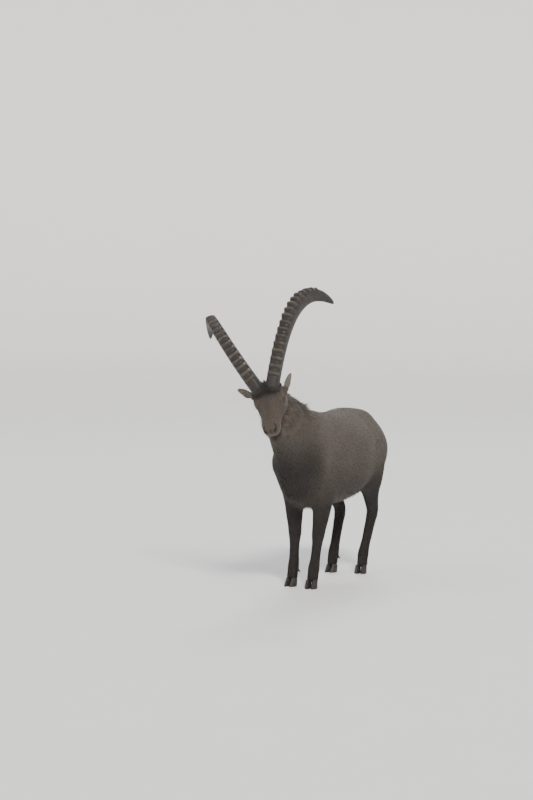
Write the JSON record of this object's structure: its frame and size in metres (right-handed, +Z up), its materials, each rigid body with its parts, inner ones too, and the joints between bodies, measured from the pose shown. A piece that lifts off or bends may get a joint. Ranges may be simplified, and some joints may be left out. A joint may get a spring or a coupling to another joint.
{
  "type": "alpine ibex",
  "caption": "Adult male alpine ibex, life size, standing on its four feet with its head turned and tilted to its left, with long ridged horns.",
  "frame": {"origin": "on the floor, under the middle of the whole animal's box", "axes": "+Z up, the animal faces -Y, its left side is +X"},
  "size_m": [0.7204, 1.4288, 1.5421],
  "materials": {
    "coat": "short dense grey-brown coat, matt",
    "dark_coat": "short dark brown coat of the legs and tail, matt",
    "face_coat": "very short coat of the head, matt",
    "horn": "dark grey-brown horn with fine growth lines, satin",
    "hoof": "near-black horn, satin",
    "eyes": "amber brown with a dark level pupil, wet gloss"
  },
  "bodies": {
    "root": {"ear_left": "face_coat", "ear_right": "face_coat", "eye_left": "eyes", "eye_right": "eyes", "foreleg_left": "dark_coat", "foreleg_left_claw_inner": "hoof", "foreleg_left_claw_outer": "hoof", "foreleg_left_dewclaw_inner": "hoof", "foreleg_left_dewclaw_outer": "hoof", "foreleg_right": "dark_coat", "foreleg_right_claw_inner": "hoof", "foreleg_right_claw_outer": "hoof", "foreleg_right_dewclaw_inner": "hoof", "foreleg_right_dewclaw_outer": "hoof", "head": "face_coat", "hindleg_left": "dark_coat", "hindleg_left_claw_inner": "hoof", "hindleg_left_claw_outer": "hoof", "hindleg_left_dewclaw_inner": "hoof", "hindleg_left_dewclaw_outer": "hoof", "hindleg_right": "dark_coat", "hindleg_right_claw_inner": "hoof", "hindleg_right_claw_outer": "hoof", "hindleg_right_dewclaw_inner": "hoof", "hindleg_right_dewclaw_outer": "hoof", "horn_left": "horn", "horn_right": "horn", "neck": "coat", "tail": "dark_coat", "torso": "coat"}
  },
  "joints": []
}
